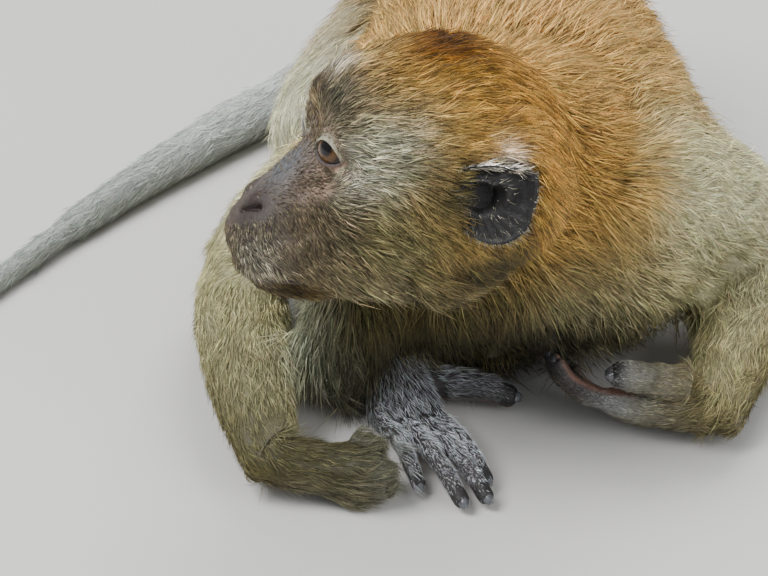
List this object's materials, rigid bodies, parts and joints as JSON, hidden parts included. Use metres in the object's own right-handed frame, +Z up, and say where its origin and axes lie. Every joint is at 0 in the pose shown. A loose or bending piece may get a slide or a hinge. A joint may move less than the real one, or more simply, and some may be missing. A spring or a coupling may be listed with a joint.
{
  "type": "macaque figure",
  "caption": "Still life-size figure of a long-tailed macaque crouching low on its elbows, head turned aside, with a short golden and olive coat and a long tail laid along the floor.",
  "frame": {"origin": "middle of the animal's outline on the floor it rests on, at the height of its soles", "axes": "+Z up; +Y from the chest back to the rump, along the body; +X towards the animal's left; the muzzle points along -X and a little to -Y"},
  "size_m": [0.3946, 0.4508, 0.1653],
  "materials": {
    "fur_golden": "short matt fur, golden brown with dark ticking",
    "fur_olive": "short matt fur, olive grey with pale tips",
    "skin_dark": "bare dark grey skin with sparse grey hair",
    "eye": "wet gloss, dark amber brown"
  },
  "bodies": {
    "root": {"head": "fur_golden", "neck": "fur_golden", "trunk": "fur_golden", "upper_arm_left": "fur_olive", "upper_arm_right": "fur_olive", "forearm_left": "fur_olive", "forearm_right": "fur_olive", "thigh_left": "fur_olive", "thigh_right": "fur_olive", "shin_left": "fur_olive", "shin_right": "fur_olive", "tail_1": "fur_olive", "tail_2": "fur_olive", "tail_3": "fur_olive", "tail_4": "fur_olive", "hand_left": "skin_dark", "hand_right": "skin_dark", "foot_left": "skin_dark", "foot_right": "skin_dark", "ear_left": "skin_dark", "ear_right": "skin_dark", "eye_left": "eye", "eye_right": "eye"}
  },
  "joints": []
}
